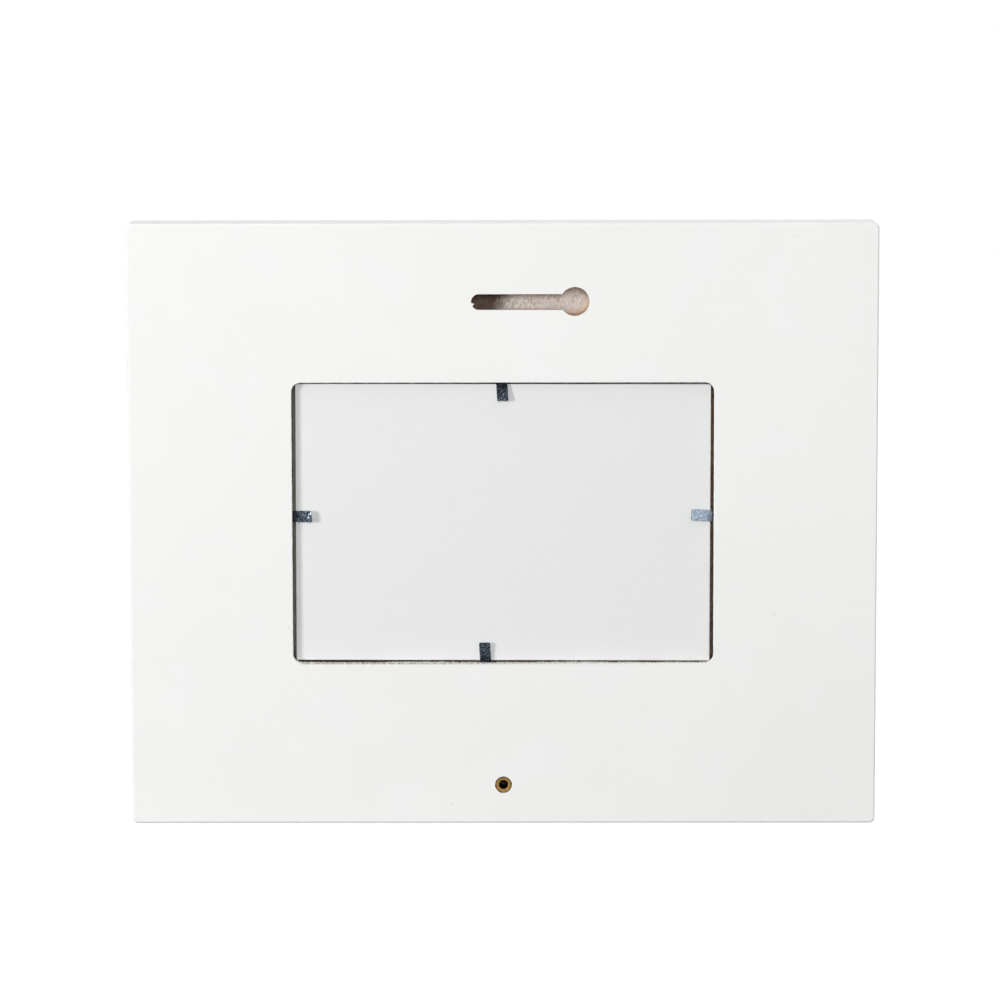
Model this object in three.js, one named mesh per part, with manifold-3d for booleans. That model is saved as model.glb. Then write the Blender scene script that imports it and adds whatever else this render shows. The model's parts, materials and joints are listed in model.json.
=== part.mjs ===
// A wide-bordered photo frame cut from one painted fibreboard panel.
//
// The display side faces -Y and the wall side +Y, with +Z up, in millimetres. The origin is where the frame
// hangs: on top of the wall screw, under the upper edge of the keyhole slot, in the plane of the wall side.
// A print, its glazing and its backing lie in a stepped pocket that is cut from the wall side, held down by
// four sheet-steel points that are driven into the pocket's walls and bent up to free the print.

import * as THREE from 'three';
import { mergeVertices } from 'three/addons/utils/BufferGeometryUtils.js';
import Module from 'manifold-3d';

const wasm = await Module();
wasm.setup();

// The board
const BOARD_WIDTH = 274;
const BOARD_HEIGHT = 222;
const BOARD_THICKNESS = 15;
const BOARD_CORNER_RADIUS = 2;
const BOARD_EDGE_ROUND = 0.7;

// The print, with the glazing and the backing cut to the same size
const PRINT_WIDTH = 152;
const PRINT_HEIGHT = 102;
const PRINT_THICKNESS = 0.3;
const GLAZING_THICKNESS = 2;
const GLAZING_ARRIS = 0.25;
const BACKING_THICKNESS = 3;
const BACKING_CORNER_RADIUS = 0.5;
const BACKING_SKEW_DEGREES = -0.14;
const STACK_GAP = 0.1;

// The pocket that holds them, and the window in the lip that is left in front of it
const POCKET_ABOVE_MIDDLE = 0.8;
const POCKET_SIDE_CLEARANCE = 1.2;
const POCKET_END_CLEARANCE = 0.9;
const POCKET_CORNER_RADIUS = 3.3;
const BACKING_RECESS = 3;
const LIP_OVERLAP = 3.2;
const WINDOW_CORNER_RADIUS = 1.5;

// The keyhole: the cutter's head plunges in at the entry and runs along to the far end, under the lips
const KEYHOLE_BELOW_TOP = 28.6;
const KEYHOLE_ENTRY_OFFSET = -26.4;
const KEYHOLE_TRAVEL = 35;
const KEYHOLE_HEAD_DIAMETER = 10.8;
const KEYHOLE_NECK_WIDTH = 6.1;
const KEYHOLE_LIP_DEPTH = 3.5;
const KEYHOLE_DEPTH = 10.5;

// The knurled insert for a screw-in prop
const INSERT_ABOVE_BOTTOM = 14.3;
const INSERT_LENGTH = 9;
const INSERT_BORE_DIAMETER = 3.3;
const INSERT_WALL = 1.05;
const INSERT_CHAMFER = 0.4;
const INSERT_SUNK = 0.1;
const INSERT_HOLE_CLEARANCE = 0.1;
const INSERT_HOLE_SPARE_DEPTH = 1;
const KNURL_TEETH = 24;
const KNURL_HEIGHT = 0.3;
const KNURL_TOOTH_DEPTH = 0.22;
const KNURL_GROOVE_WIDTH = 1.6;

// The retaining points: one steel strip each, of which a different length stands out of each wall
const STRIP_LENGTH = 15;
const STRIP_WIDTH = 4.1;
const STRIP_THICKNESS = 0.45;
const STRIP_TIP_RADIUS = 0.5;
const STRIP_POINT_LENGTH = 2.2;
const STRIP_POINT_WIDTH = 1.4;
const STRIP_ABOVE_BACKING = 0.9;
const BEND_FROM_WALL = 0.7;
const BEND_HALF_GAP = 0.25;
const SLIT_CLEARANCE = 0.15;

// Each point as it was driven: the turn of its wall about Y, how far it stands out of the wall, how far off
// the wall's middle it sits, how far it leans in the board's plane and how far its tip is lifted, in degrees
const POINTS = [
  { side: 'top', turn: 0, out: 7, along: 0.3, lean: 3.5, lift: 10 },
  { side: 'bottom', turn: 180, out: 7.6, along: -6.5, lean: 3, lift: 7 },
  { side: 'left', turn: -90, out: 8.4, along: 2.5, lean: -5, lift: 11 },
  { side: 'right', turn: 90, out: 7.5, along: -2.5, lean: 0.5, lift: 13 },
];

// Steps on arcs of a quarter, a half and a full turn, and how far a cutter runs past the face it opens
const QUARTER_STEPS = 4;
const HALF_STEPS = 2 * QUARTER_STEPS;
const ROUND_STEPS = 4 * QUARTER_STEPS;
const LATHE_STEPS = 48;
const CUT_PAST = 2;

// Angles in an outline, which is drawn as seen from the display side
const EAST = 0;
const NORTH = Math.PI / 2;
const WEST = Math.PI;
const SOUTH = 1.5 * Math.PI;
const ROUND = 2 * Math.PI;

// Worked out from the sizes above. Depths are measured from the wall side into the board.
const POCKET_WIDTH = PRINT_WIDTH + 2 * POCKET_SIDE_CLEARANCE;
const POCKET_HEIGHT = PRINT_HEIGHT + 2 * POCKET_END_CLEARANCE;
const WINDOW_WIDTH = PRINT_WIDTH - 2 * LIP_OVERLAP;
const WINDOW_HEIGHT = PRINT_HEIGHT - 2 * LIP_OVERLAP;
const PRINT_DEPTH = BACKING_RECESS + BACKING_THICKNESS + STACK_GAP;
const GLAZING_DEPTH = PRINT_DEPTH + PRINT_THICKNESS + STACK_GAP;
const POCKET_DEPTH = GLAZING_DEPTH + GLAZING_THICKNESS + STACK_GAP;
const STRIP_DEPTH = BACKING_RECESS - STRIP_ABOVE_BACKING;
const KEYHOLE_HEIGHT = BOARD_HEIGHT / 2 - KEYHOLE_BELOW_TOP;
const HANG_HEIGHT = KEYHOLE_HEIGHT + KEYHOLE_NECK_WIDTH / 2;
const INSERT_HEIGHT = INSERT_ABOVE_BOTTOM - BOARD_HEIGHT / 2;
const INSERT_CORE_RADIUS = INSERT_BORE_DIAMETER / 2 + INSERT_WALL;
const KNURL_RADIUS = INSERT_CORE_RADIUS + KNURL_HEIGHT;

// Materials
const LACQUER = new THREE.MeshStandardMaterial({ color: 0xf3f3f0, roughness: 0.45, metalness: 0 });
const GLASS = new THREE.MeshStandardMaterial({
  color: 0xdfeae6, roughness: 0.05, metalness: 0, transparent: true, opacity: 0.35,
});
const PAPER = new THREE.MeshStandardMaterial({ color: 0xd9d9d6, roughness: 0.3, metalness: 0 });
const CARD = new THREE.MeshStandardMaterial({ color: 0xe6e8e7, roughness: 0.8, metalness: 0 });
const BRASS = new THREE.MeshStandardMaterial({ color: 0xb08d57, roughness: 0.35, metalness: 1 });
const STEEL = new THREE.MeshStandardMaterial({ color: 0x6d7680, roughness: 0.35, metalness: 1 });

/** A solid to cut and join with, from a closed geometry. */
function solidOf(geometry) {
  const bare = geometry.clone();
  bare.deleteAttribute('normal');
  bare.deleteAttribute('uv');
  const merged = mergeVertices(bare);
  return new wasm.Manifold(new wasm.Mesh({
    numProp: 3,
    vertProperties: new Float32Array(merged.attributes.position.array),
    triVerts: new Uint32Array(merged.index.array),
  }));
}

/** The geometry of a solid, to show as a mesh. */
function geometryOf(solid) {
  const { vertProperties, triVerts } = solid.getMesh();
  const geometry = new THREE.BufferGeometry();
  geometry.setAttribute('position', new THREE.BufferAttribute(vertProperties, 3));
  geometry.setIndex(new THREE.BufferAttribute(triVerts, 1));
  geometry.computeVertexNormals();
  return geometry;
}

function named(name, geometry, material) {
  const mesh = new THREE.Mesh(geometry, material);
  mesh.name = name;
  return mesh;
}

function circle(x, y, radius) {
  return new THREE.Shape().absarc(x, y, radius, EAST, ROUND);
}

/** A rectangle with round corners about the origin. */
function roundedRectangle(width, height, radius) {
  const x = width / 2 - radius;
  const y = height / 2 - radius;
  return new THREE.Shape()
    .absarc(x, y, radius, EAST, NORTH)
    .absarc(-x, y, radius, NORTH, WEST)
    .absarc(-x, -y, radius, WEST, SOUTH)
    .absarc(x, -y, radius, SOUTH, ROUND);
}

/** The path of a round cutter that runs along x from one place to another. */
function roundEndedSlot(fromX, toX, radius) {
  return new THREE.Shape()
    .absarc(toX, 0, radius, -NORTH, NORTH)
    .absarc(fromX, 0, radius, NORTH, SOUTH);
}

/** A straight-sided solid of an outline in the board's plane, between two depths below the wall side. */
function prism(outline, fromDepth, toDepth, arcSteps = QUARTER_STEPS) {
  const geometry = new THREE.ExtrudeGeometry(outline, {
    depth: toDepth - fromDepth, bevelEnabled: false, curveSegments: arcSteps,
  });
  return geometry.translate(0, 0, fromDepth).rotateX(NORTH);
}

/** The same, with its outer edges rounded on both faces, or bevelled where there is one step. */
function roundedPrism(outline, fromDepth, toDepth, round, roundSteps = QUARTER_STEPS) {
  const geometry = new THREE.ExtrudeGeometry(outline, {
    depth: toDepth - fromDepth - 2 * round,
    bevelThickness: round,
    bevelSize: round,
    bevelOffset: -round,
    bevelSegments: roundSteps,
    curveSegments: QUARTER_STEPS,
  });
  return geometry.translate(0, 0, fromDepth + round).rotateX(NORTH);
}

/** A solid through outlines of equal point counts, each at its own depth, deepest last. */
function loft(sections) {
  const rings = sections.map(({ outline }) => outline.getPoints(QUARTER_STEPS));
  const count = rings[0].length;
  const positions = rings.flatMap((ring, i) => ring.flatMap(({ x, y }) => [x, y, sections[i].depth]));
  const faces = [];
  for (let ring = 0; ring + 1 < rings.length; ring += 1) {
    for (let i = 0; i < count; i += 1) {
      const here = ring * count + i;
      const next = ring * count + ((i + 1) % count);
      faces.push(here, next, next + count, here, next + count, here + count);
    }
  }
  const last = (rings.length - 1) * count;
  THREE.ShapeUtils.triangulateShape(rings[0], []).forEach(([a, b, c]) => {
    faces.push(a, c, b, last + a, last + b, last + c);
  });
  const geometry = new THREE.BufferGeometry();
  geometry.setAttribute('position', new THREE.Float32BufferAttribute(positions, 3));
  geometry.setIndex(faces);
  return geometry.rotateX(NORTH);
}

/** The window's cutter, which flares at the display side to leave a quarter-round edge on the board. */
function windowCutter() {
  const section = (depth, spread) => ({
    depth,
    outline: roundedRectangle(
      WINDOW_WIDTH + 2 * spread, WINDOW_HEIGHT + 2 * spread, WINDOW_CORNER_RADIUS + spread,
    ),
  });
  const sections = [section(POCKET_DEPTH - CUT_PAST, 0)];
  for (let step = 0; step <= QUARTER_STEPS; step += 1) {
    const angle = (step / QUARTER_STEPS) * NORTH;
    const depth = BOARD_THICKNESS - BOARD_EDGE_ROUND * (1 - Math.sin(angle));
    sections.push(section(depth, BOARD_EDGE_ROUND * (1 - Math.cos(angle))));
  }
  sections.push(section(BOARD_THICKNESS + CUT_PAST, BOARD_EDGE_ROUND));
  return solidOf(loft(sections));
}

/** The keyhole's cutter: the head's plunge, the narrow neck between the lips and the head's run below them. */
function keyholeCutter() {
  const farEnd = KEYHOLE_ENTRY_OFFSET + KEYHOLE_TRAVEL;
  const headRadius = KEYHOLE_HEAD_DIAMETER / 2;
  const entry = circle(KEYHOLE_ENTRY_OFFSET, 0, headRadius);
  const neck = roundEndedSlot(KEYHOLE_ENTRY_OFFSET, farEnd, KEYHOLE_NECK_WIDTH / 2);
  const run = roundEndedSlot(KEYHOLE_ENTRY_OFFSET, farEnd, headRadius);
  return solidOf(prism(run, KEYHOLE_LIP_DEPTH, KEYHOLE_DEPTH, HALF_STEPS))
    .add(solidOf(prism(entry, -CUT_PAST, KEYHOLE_DEPTH, ROUND_STEPS)))
    .add(solidOf(prism(neck, -CUT_PAST, KEYHOLE_DEPTH, HALF_STEPS)))
    .translate(0, 0, KEYHOLE_HEIGHT);
}

function insertHoleCutter() {
  const hole = circle(0, INSERT_HEIGHT, KNURL_RADIUS + INSERT_HOLE_CLEARANCE);
  const depth = INSERT_SUNK + INSERT_LENGTH + INSERT_HOLE_SPARE_DEPTH;
  return solidOf(prism(hole, -CUT_PAST, depth, ROUND_STEPS));
}

/** A point's place: a group at its bend line, with x along the bend, +y to the wall side and z into the wall. */
function pointPlace({ turn, along, lean }) {
  const wallDistance = turn % 180 === 0 ? POCKET_HEIGHT / 2 : POCKET_WIDTH / 2;
  const wall = new THREE.Group();
  const place = new THREE.Group();
  wall.position.z = POCKET_ABOVE_MIDDLE;
  wall.rotation.y = THREE.MathUtils.degToRad(turn);
  place.position.set(along, -STRIP_DEPTH, wallDistance - BEND_FROM_WALL);
  place.rotation.y = THREE.MathUtils.degToRad(lean);
  wall.add(place);
  return { wall, place };
}

/** The driven end of a point in its own plane, from a start beside the bend, grown all round by a clearance. */
function shankOutline(start, out, clearance) {
  const end = STRIP_LENGTH - out + BEND_FROM_WALL + clearance;
  const shoulder = end - STRIP_POINT_LENGTH;
  const half = STRIP_WIDTH / 2 + clearance;
  const pointHalf = STRIP_POINT_WIDTH / 2 + clearance;
  return new THREE.Shape()
    .moveTo(-half, start)
    .lineTo(half, start)
    .lineTo(half, shoulder)
    .lineTo(pointHalf, end)
    .lineTo(-pointHalf, end)
    .lineTo(-half, shoulder);
}

/** The end of a point that stands out of the wall, in its own plane, with round free corners. */
function leafOutline(out) {
  const half = STRIP_WIDTH / 2;
  const cornerX = half - STRIP_TIP_RADIUS;
  const cornerY = BEND_FROM_WALL - out + STRIP_TIP_RADIUS;
  return new THREE.Shape()
    .moveTo(half, -BEND_HALF_GAP)
    .lineTo(-half, -BEND_HALF_GAP)
    .absarc(-cornerX, cornerY, STRIP_TIP_RADIUS, WEST, SOUTH)
    .absarc(cornerX, cornerY, STRIP_TIP_RADIUS, SOUTH, ROUND);
}

/** A flat piece of the strip's sheet, or a slit for it, about the strip's middle plane. */
function sheet(outline, clearance) {
  const half = STRIP_THICKNESS / 2 + clearance;
  return prism(outline, -half, half);
}

function slitCutter(point) {
  const { wall, place } = pointPlace(point);
  wall.updateMatrixWorld(true);
  const outline = shankOutline(BEND_FROM_WALL - CUT_PAST, point.out, SLIT_CLEARANCE);
  return solidOf(sheet(outline, SLIT_CLEARANCE).applyMatrix4(place.matrixWorld));
}

function frameBoard() {
  const outline = roundedRectangle(BOARD_WIDTH, BOARD_HEIGHT, BOARD_CORNER_RADIUS);
  const pocket = roundedRectangle(POCKET_WIDTH, POCKET_HEIGHT, POCKET_CORNER_RADIUS);
  const cutters = [
    solidOf(prism(pocket, -CUT_PAST, POCKET_DEPTH)).translate(0, 0, POCKET_ABOVE_MIDDLE),
    windowCutter().translate(0, 0, POCKET_ABOVE_MIDDLE),
    keyholeCutter(),
    insertHoleCutter(),
    ...POINTS.map(slitCutter),
  ];
  const board = cutters.reduce(
    (solid, cutter) => solid.subtract(cutter),
    solidOf(roundedPrism(outline, 0, BOARD_THICKNESS, BOARD_EDGE_ROUND)),
  );
  return named('frame_board', geometryOf(board), LACQUER);
}

function glazing() {
  const pane = roundedRectangle(PRINT_WIDTH, PRINT_HEIGHT, 2 * GLAZING_ARRIS);
  const face = GLAZING_DEPTH + GLAZING_THICKNESS;
  return named('glazing', roundedPrism(pane, GLAZING_DEPTH, face, GLAZING_ARRIS, 1), GLASS);
}

function photoInsert() {
  const print = new THREE.BoxGeometry(PRINT_WIDTH, PRINT_THICKNESS, PRINT_HEIGHT);
  print.translate(0, -PRINT_DEPTH - PRINT_THICKNESS / 2, 0);
  return named('photo_insert', print, PAPER);
}

function backingBoard() {
  const panel = roundedRectangle(PRINT_WIDTH, PRINT_HEIGHT, BACKING_CORNER_RADIUS);
  const face = BACKING_RECESS + BACKING_THICKNESS;
  const mesh = named('backing_board', prism(panel, BACKING_RECESS, face), CARD);
  mesh.rotation.y = THREE.MathUtils.degToRad(BACKING_SKEW_DEGREES);
  return mesh;
}

/** A ring of straight knurling between two depths, which reaches halfway into the insert's core. */
function knurledBand(fromDepth, toDepth) {
  const outline = new THREE.Shape();
  for (let flank = 0; flank < 2 * KNURL_TEETH; flank += 1) {
    const angle = (flank / (2 * KNURL_TEETH)) * ROUND;
    const radius = flank % 2 === 0 ? KNURL_RADIUS : KNURL_RADIUS - KNURL_TOOTH_DEPTH;
    const place = [radius * Math.cos(angle), radius * Math.sin(angle)];
    if (flank === 0) {
      outline.moveTo(...place);
    } else {
      outline.lineTo(...place);
    }
  }
  outline.holes.push(circle(0, 0, INSERT_CORE_RADIUS - INSERT_WALL / 2));
  return solidOf(prism(outline, fromDepth, toDepth, ROUND_STEPS));
}

function threadedInsert() {
  const bore = INSERT_BORE_DIAMETER / 2;
  const profile = [
    new THREE.Vector2(bore + INSERT_CHAMFER, 0),
    new THREE.Vector2(bore, -INSERT_CHAMFER),
    new THREE.Vector2(bore, -INSERT_LENGTH),
    new THREE.Vector2(INSERT_CORE_RADIUS, -INSERT_LENGTH),
    new THREE.Vector2(INSERT_CORE_RADIUS, 0),
    new THREE.Vector2(bore + INSERT_CHAMFER, 0),
  ];
  const bandLength = (INSERT_LENGTH - KNURL_GROOVE_WIDTH) / 2;
  const body = solidOf(new THREE.LatheGeometry(profile, LATHE_STEPS))
    .add(knurledBand(INSERT_CHAMFER, bandLength))
    .add(knurledBand(INSERT_LENGTH - bandLength, INSERT_LENGTH - INSERT_CHAMFER));
  const mesh = named('threaded_insert', geometryOf(body), BRASS);
  mesh.position.set(0, -INSERT_SUNK, INSERT_HEIGHT);
  return mesh;
}

/** One retaining point: its driven shank, and the leaf that turns about the bend line. */
function retainingPoint(point) {
  const { wall, place } = pointPlace(point);
  const name = `retaining_tab_${point.side}`;
  const leaf = named(name, sheet(leafOutline(point.out), 0), STEEL);
  const shank = named(`${name}_shank`, sheet(shankOutline(BEND_HALF_GAP, point.out, 0), 0), STEEL);
  leaf.rotation.x = THREE.MathUtils.degToRad(point.lift);
  place.add(leaf, shank);
  return wall;
}

const contents = new THREE.Group();
contents.position.z = POCKET_ABOVE_MIDDLE;
contents.add(glazing(), photoInsert(), backingBoard());

const assembly = new THREE.Group();
assembly.position.z = -HANG_HEIGHT;
assembly.add(frameBoard(), contents, threadedInsert(), ...POINTS.map(retainingPoint));

const photoFrame = new THREE.Group();
photoFrame.add(assembly);

export default photoFrame;
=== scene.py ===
"""A wide-bordered photo frame of painted fibreboard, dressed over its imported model.

The display side faces -Y, the wall side +Y, and +Z is up. The origin is on top of the wall screw, under the
upper edge of the keyhole. Lengths are in millimetres and depths run from the wall side into the board, up to
the point where a mesh is made in metres.
"""
import json
import math

import bmesh
import bpy
from mathutils import Matrix, Vector, noise


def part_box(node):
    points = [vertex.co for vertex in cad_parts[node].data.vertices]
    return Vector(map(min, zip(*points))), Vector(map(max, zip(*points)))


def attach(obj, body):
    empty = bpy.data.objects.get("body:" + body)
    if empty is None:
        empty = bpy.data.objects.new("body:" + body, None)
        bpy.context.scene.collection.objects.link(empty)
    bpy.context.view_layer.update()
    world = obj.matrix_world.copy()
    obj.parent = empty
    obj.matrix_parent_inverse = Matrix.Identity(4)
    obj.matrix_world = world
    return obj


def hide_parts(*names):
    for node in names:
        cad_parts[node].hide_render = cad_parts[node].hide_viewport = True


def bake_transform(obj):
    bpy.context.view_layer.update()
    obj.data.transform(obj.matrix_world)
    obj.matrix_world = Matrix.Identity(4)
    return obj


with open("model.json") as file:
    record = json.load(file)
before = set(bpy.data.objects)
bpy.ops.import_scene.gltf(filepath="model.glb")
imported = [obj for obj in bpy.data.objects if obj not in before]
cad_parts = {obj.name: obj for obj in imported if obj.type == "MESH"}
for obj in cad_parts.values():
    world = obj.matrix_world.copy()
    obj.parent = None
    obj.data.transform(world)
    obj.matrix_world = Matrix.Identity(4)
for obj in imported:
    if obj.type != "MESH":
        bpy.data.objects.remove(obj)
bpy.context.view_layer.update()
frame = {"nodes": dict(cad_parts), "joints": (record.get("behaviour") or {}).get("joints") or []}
JOINTS = {joint["name"]: joint for joint in frame["joints"]}
MM = 0.001


def box_mm(node):
    """The lowest and highest corners of a CAD node in millimetres."""
    low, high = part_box(node)
    return low / MM, high / MM


# The board, and the pane whose size and place the pocket follows
BOARD_LOW, BOARD_HIGH = box_mm("frame_board")
BOARD_SIZE = BOARD_HIGH - BOARD_LOW
BOARD_CENTRE = (BOARD_LOW + BOARD_HIGH) / 2
BOARD_CORNER_RADIUS = 2
BOARD_EDGE_ROUND = 0.7
PANE_LOW, PANE_HIGH = box_mm("glazing")
PANE_SIZE = PANE_HIGH - PANE_LOW
PANE_CENTRE = (PANE_LOW + PANE_HIGH) / 2

# The pocket, in which the pane has some play, and its window
PANE_PLAY_ACROSS = 1.2
PANE_PLAY_UP = 0.9
PANE_GAP_BELOW = 0.1
POCKET_WIDTH = PANE_SIZE.x + 2 * PANE_PLAY_ACROSS
POCKET_HEIGHT = PANE_SIZE.z + 2 * PANE_PLAY_UP
POCKET_DEPTH = PANE_GAP_BELOW - PANE_LOW.y
POCKET_CORNER_RADIUS = 3.3
POCKET_EDGE_ROUND = 0.3
LIP_OVERLAP = 3.2
WINDOW_CORNER_RADIUS = 1.5

# The pocket's rubbed lower rim: how wide it is, and where from its middle it is rubbed least and most
RUBBED_REACH = 0.85
RUBBED_LEAST_AT = -70
RUBBED_MOST_AT = 30

# The dust low down in the pocket: the depths over which it begins, and the stretch along X
DUST_DEPTHS = (6, 8)
DUST_ACROSS = (-30, 50)

# The keyhole, just under the origin: paint narrows it, twice as much in its neck, which runs a little low
KEYHOLE_ENTRY = -26.4
KEYHOLE_FAR_END = 8.6
KEYHOLE_HEAD_WIDTH = 10.8
KEYHOLE_NECK_WIDTH = 6.1
KEYHOLE_MIDDLE = -KEYHOLE_NECK_WIDTH / 2
KEYHOLE_PAINT = 0.1
KEYHOLE_HEAD_RADIUS = KEYHOLE_HEAD_WIDTH / 2 - KEYHOLE_PAINT
KEYHOLE_NECK_RADIUS = KEYHOLE_NECK_WIDTH / 2 - 2 * KEYHOLE_PAINT
KEYHOLE_NECK_DROP = 0.15
KEYHOLE_LIP_DEPTH = 3.5
KEYHOLE_DEPTH = 10.5

# Painted shade at the keyhole's far end: where along X it begins and is full, its slant, and how ragged it is
PAINTED_SHADE_BEGINS = -4.6
PAINTED_SHADE_FULL = 1.2
PAINTED_SHADE_SLANT = 0.45
PAINTED_SHADE_RAGGED = 1.2

# The cutter's wander: how far from true it left its edges, over which length, and the seed it is drawn from
CUT_WANDER = 0.07
CUT_WANDER_LENGTH = 1.1
CUT_WANDER_SEED = 1

# A scrap of paint film that still hangs in the keyhole's far end, and reaches half as far at its back
FILM_ANGLE = -20
FILM_SPREAD = 9
FILM_REACH = 1.1
FILM_BACK_REACH = 0.55
FILM_THICKNESS = 0.45

# The knurled insert
INSERT_LOW, INSERT_HIGH = box_mm("threaded_insert")
INSERT_CENTRE = (INSERT_LOW + INSERT_HIGH) / 2
INSERT_LENGTH = INSERT_HIGH.y - INSERT_LOW.y
INSERT_HOLE_CLEARANCE = 0.1
INSERT_HOLE_EDGE_ROUND = 0.05
INSERT_HOLE_SPARE_DEPTH = 1
INSERT_HOLE_DEPTH = INSERT_HOLE_SPARE_DEPTH - INSERT_LOW.y
INSERT_CORE_RADIUS = 2.7
INSERT_EDGE_BREAK = 0.1
INSERT_BORE_RADIUS = 1.65
INSERT_CHAMFER = 0.4
KNURL_RADIUS = (INSERT_HIGH.x - INSERT_LOW.x) / 2
KNURL_DEPTH = 0.22
KNURL_TEETH = 24
KNURL_WAVE = (1.0, 0.5, 0.0, 0.5)
KNURL_TAPER = 0.2
KNURL_BAND = 3.7
KNURL_TWIST = math.radians(11)
THREAD_PITCH = 0.7
THREAD_DEPTH = 0.35

# The steel points: how far each stands out of its wall, how its tip was cut, and how far its tip is lifted
STRIP_LENGTH = 15
STRIP_WIDTH = 4.1
STRIP_THICKNESS = 0.45
STRIP_TIP_RADIUS = 0.5
STRIP_POINT_LENGTH = 2.2
STRIP_POINT_WIDTH = 1.4
STRIP_BEVEL = 0.06
STRIP_DENT = 0.02
STRIP_DENTS_PER_MM = 0.7
STRIP_BOW = 0.14
BEND_FROM_WALL = 0.7
BEND_HALF = 0.25
SLIT_CLEARANCE = 0.15
POINTS = {
    "top": {"out": 7.0, "lift": 10, "slant": 2},
    "left": {"out": 8.4, "lift": 11, "slant": -2},
    "bottom": {"out": 7.6, "lift": 7, "slant": 2},
    "right": {"out": 7.5, "lift": 13, "slant": -5},
}

# The backing panel: its turn and drop in the pocket, and how far the cut spread its upper and lower edges
BACKING_LOW, BACKING_HIGH = box_mm("backing_board")
BACKING_SKEW = math.radians(-0.14)
BACKING_DROP = 0.12
BACKING_SPREAD = 0.2
BACKING_CORNER_RADIUS = 0.5
BACKING_EDGE_ROUND = 0.15

# The print's white margin
PRINT_MARGIN = 7

# How finely forms are divided, how long the steps along cut edges are, and from which angle an edge is sharp
CUT_STEP = 2.0
CORNER_STEPS = 8
EDGE_STEPS = 5
KEYHOLE_END_STEPS = 12
INSERT_HOLE_STEPS = 48
INSERT_STEPS = len(KNURL_WAVE) * KNURL_TEETH
THREAD_STEPS = 8
STRIP_LEAF_STEPS = 10
STRIP_BEND_STEPS = 12
STRIP_COLUMNS = 8
SHARP_ANGLE = math.radians(38)

# The camera, fitted to the photograph: its distance, height angle, side step, roll, aim and lens
CAMERA_DISTANCE = 1800
CAMERA_ELEVATION = math.radians(8.4)
CAMERA_SIDE_STEP = -14.6
CAMERA_ROLL = math.radians(-0.13)
CAMERA_AIM = Vector((1.05, 0, 9.5))
CAMERA_LENS = 176.9


# Outlines in the board's plane, as points of x and z

def on_circle(centre, radius, degrees):
    """The point of a circle at an angle from +X towards +Z."""
    angle = math.radians(degrees)
    return Vector((centre[0] + radius * math.cos(angle), centre[1] + radius * math.sin(angle)))


def arc(centre, radius, start, end, steps):
    """Points along an arc with both its ends."""
    return [on_circle(centre, radius, start + (end - start) * step / steps) for step in range(steps + 1)]


def between(start, end, step):
    """Points along a line in equal steps of about a length, without its ends."""
    count = max(1, round((end - start).length / step))
    return [start.lerp(end, i / count) for i in range(1, count)]


def rounded_rectangle(centre, width, height, radius):
    """Round corners from the upper right, turning towards the upper left."""
    x = width / 2 - radius
    z = height / 2 - radius
    corners = [(x, z), (-x, z), (-x, -z), (x, -z)]
    points = []
    for quarter, (dx, dz) in enumerate(corners):
        middle = (centre.x + dx, centre.z + dz)
        points += arc(middle, radius, 90 * quarter, 90 * quarter + 90, CORNER_STEPS)
    return points


def wander(points):
    """The same points, each a little off true as a cutter leaves them."""
    moved = []
    for point in points:
        shift = noise.noise_vector(Vector((point.x, point.y, 0)) / CUT_WANDER_LENGTH)
        moved.append(point + CUT_WANDER * shift.xy)
    return moved


def pocket_outline(grow, slits):
    """The pocket's outline with points at both edges of each wall's slit, and where in it the slits begin."""
    corners = rounded_rectangle(
        PANE_CENTRE, POCKET_WIDTH + 2 * grow, POCKET_HEIGHT + 2 * grow, POCKET_CORNER_RADIUS + grow
    )
    points = []
    begins = {}
    per_corner = CORNER_STEPS + 1
    for number, side in enumerate(("top", "left", "bottom", "right")):
        corner = corners[number * per_corner:(number + 1) * per_corner]
        following = corners[(number + 1) * per_corner % len(corners)]
        first, second = slits[side]
        if side in ("top", "bottom"):
            edges = [Vector((first, corner[-1].y)), Vector((second, corner[-1].y))]
        else:
            edges = [Vector((corner[-1].x, first)), Vector((corner[-1].x, second))]
        points += corner + between(corner[-1], edges[0], CUT_STEP)
        begins[side] = len(points)
        points += edges + between(edges[1], following, CUT_STEP)
    return wander(points), begins


def keyhole_arcs(radius, upper, lower):
    """The entry's circle in three arcs: from the neck to the top, round the back, and on to the neck again.

    The neck meets the circle at two heights above and below its middle.
    """
    entry = (KEYHOLE_ENTRY, KEYHOLE_MIDDLE)
    start = math.degrees(math.asin(upper / radius))
    end = 360 - math.degrees(math.asin(lower / radius))
    return (
        arc(entry, radius, start, 90, CORNER_STEPS),
        arc(entry, radius, 90, 270, 2 * CORNER_STEPS),
        arc(entry, radius, 270, end, CORNER_STEPS),
    )


def keyhole_outline(grow, film):
    """The keyhole's outline on the wall side in two runs: round the back of the entry, and all the rest."""
    neck = KEYHOLE_NECK_RADIUS + grow
    head = KEYHOLE_HEAD_RADIUS + grow
    before, back, after = keyhole_arcs(head, neck - KEYHOLE_NECK_DROP, neck + KEYHOLE_NECK_DROP)
    far_end = (KEYHOLE_FAR_END, KEYHOLE_MIDDLE - KEYHOLE_NECK_DROP)
    end = []
    for step in range(-KEYHOLE_END_STEPS, KEYHOLE_END_STEPS + 1):
        angle = 90 * step / KEYHOLE_END_STEPS
        hanging = film * math.exp(-(((angle - FILM_ANGLE) / FILM_SPREAD) ** 2))
        end.append(on_circle(far_end, neck - hanging, angle))
    rest = after + between(after[-1], end[0], CUT_STEP) + end + between(end[-1], before[0], CUT_STEP) + before
    return wander(back), wander(rest)


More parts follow.
